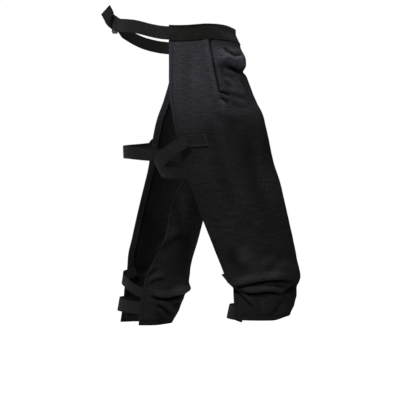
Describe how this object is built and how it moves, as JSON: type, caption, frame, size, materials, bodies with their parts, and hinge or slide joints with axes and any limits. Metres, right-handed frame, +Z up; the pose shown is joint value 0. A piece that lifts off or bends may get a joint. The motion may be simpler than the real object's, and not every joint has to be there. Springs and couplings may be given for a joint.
{
  "type": "protective leg chaps",
  "caption": "Half-length protective leg chaps: waistband with a belt and rear buckle, two leg panels, and straps behind the thigh, knee and calf.",
  "frame": {"origin": "middle of the waist loop, where the wearer's waist holds the chaps up", "axes": "+Z up, -Y the way the wearer faces, -X the wearer's right"},
  "size_m": [0.3705, 0.3765, 0.6246],
  "materials": {
    "shell_cloth": "matt woven polyamide cloth",
    "waistband_cloth": "matt woven cloth",
    "lining_cloth": "smooth woven lining",
    "pad_cloth": "needled fibre layers",
    "webbing": "woven strap",
    "hook_and_loop": "hook-and-loop tape",
    "buckle_nylon": "glossy black moulding"
  },
  "bodies": {
    "waist": {"waistband_face": "waistband_cloth", "waistband_lining": "waistband_cloth", "belt_webbing": "webbing", "buckle_socket": "buckle_nylon"},
    "plug": {"buckle_plug": "buckle_nylon", "belt_end_right": "webbing"},
    "latch_upper": {"buckle_latch_upper": "buckle_nylon"},
    "latch_lower": {"buckle_latch_lower": "buckle_nylon"},
    "tail": {"belt_tail": "webbing"},
    "right_leg": {"right_shell": "shell_cloth", "right_lining": "lining_cloth", "right_pad": "pad_cloth", "right_thigh_loop_tape": "hook_and_loop", "right_thigh_strap_sewn": "webbing", "right_knee_strap_sewn": "webbing", "right_knee_loop_tape": "hook_and_loop", "right_calf_strap_sewn": "webbing", "right_calf_loop_tape": "hook_and_loop"},
    "right_thigh_strap": {"right_thigh_strap": "webbing", "right_thigh_hook_tape": "hook_and_loop"},
    "right_knee_strap": {"right_knee_strap": "webbing", "right_knee_hook_tape": "hook_and_loop"},
    "right_calf_strap": {"right_calf_strap": "webbing", "right_calf_hook_tape": "hook_and_loop"},
    "left_leg": {"left_shell": "shell_cloth", "left_lining": "lining_cloth", "left_pad": "pad_cloth", "left_thigh_loop_tape": "hook_and_loop", "left_thigh_strap_sewn": "webbing", "left_knee_strap_sewn": "webbing", "left_knee_loop_tape": "hook_and_loop", "left_calf_strap_sewn": "webbing", "left_calf_loop_tape": "hook_and_loop"},
    "left_thigh_strap": {"left_thigh_strap": "webbing", "left_thigh_hook_tape": "hook_and_loop"},
    "left_knee_strap": {"left_knee_strap": "webbing", "left_knee_hook_tape": "hook_and_loop"},
    "left_calf_strap": {"left_calf_strap": "webbing", "left_calf_hook_tape": "hook_and_loop"}
  },
  "joints": [
    {"name": "right_hip", "type": "hinge", "parent": "waist", "child": "right_leg", "pos_m": [0, -0.03, -0.13], "axis": [-1, 0, 0], "range_deg": [-30, 40], "deforming": ["right_shell", "right_lining"]},
    {"name": "left_hip", "type": "hinge", "parent": "waist", "child": "left_leg", "pos_m": [0, -0.03, -0.13], "axis": [-1, 0, 0], "range_deg": [-10, 50], "deforming": ["left_shell", "left_lining"]},
    {"name": "right_thigh_strap_open", "type": "hinge", "parent": "right_leg", "child": "right_thigh_strap", "pos_m": [-0.05913, 0.01711, -0.27387], "axis": [-0.3153, -0.332, -0.889], "range_deg": [0, 60]},
    {"name": "right_knee_strap_open", "type": "hinge", "parent": "right_leg", "child": "right_knee_strap", "pos_m": [-0.05889, -0.14388, -0.49186], "axis": [-0.1989, 0.2036, -0.9586], "range_deg": [0, 60]},
    {"name": "right_calf_strap_open", "type": "hinge", "parent": "right_leg", "child": "right_calf_strap", "pos_m": [-0.06008, -0.14738, -0.53452], "axis": [0.0425, 0.0019, -0.9991], "range_deg": [0, 60]},
    {"name": "left_thigh_strap_open", "type": "hinge", "parent": "left_leg", "child": "left_thigh_strap", "pos_m": [0.05045, 0.09204, -0.23233], "axis": [-0.1161, 0.0355, 0.9926], "range_deg": [0, 60]},
    {"name": "left_knee_strap_open", "type": "hinge", "parent": "left_leg", "child": "left_knee_strap", "pos_m": [0.05377, 0.06964, -0.50914], "axis": [-0.093, -0.2598, 0.9612], "range_deg": [0, 60]},
    {"name": "left_calf_strap_open", "type": "hinge", "parent": "left_leg", "child": "left_calf_strap", "pos_m": [0.05474, 0.07381, -0.54038], "axis": [0.0042, -0.0965, 0.9953], "range_deg": [0, 60]},
    {"name": "buckle_release", "type": "slide", "parent": "waist", "child": "plug", "axis": [-1, 0, 0], "range_m": [0, 0.028], "deforming": ["belt_end_right", "buckle_latch_upper", "buckle_latch_lower"]},
    {"name": "latch_upper_press", "type": "hinge", "parent": "plug", "child": "latch_upper", "pos_m": [-0.0148, 0.1205, 0.0225], "axis": [0, 1, 0], "range_deg": [0, 7]},
    {"name": "latch_lower_press", "type": "hinge", "parent": "plug", "child": "latch_lower", "pos_m": [-0.0148, 0.1205, 0.0095], "axis": [0, -1, 0], "range_deg": [0, 7]},
    {"name": "tail_swing", "type": "hinge", "parent": "plug", "child": "tail", "pos_m": [-0.0265, 0.1241, 0.016], "axis": [0, 0, -1], "range_deg": [0, 40]}
  ],
  "couplings": [
    {"joint": "latch_lower_press", "follows": "latch_upper_press", "ratio": 1}
  ]
}
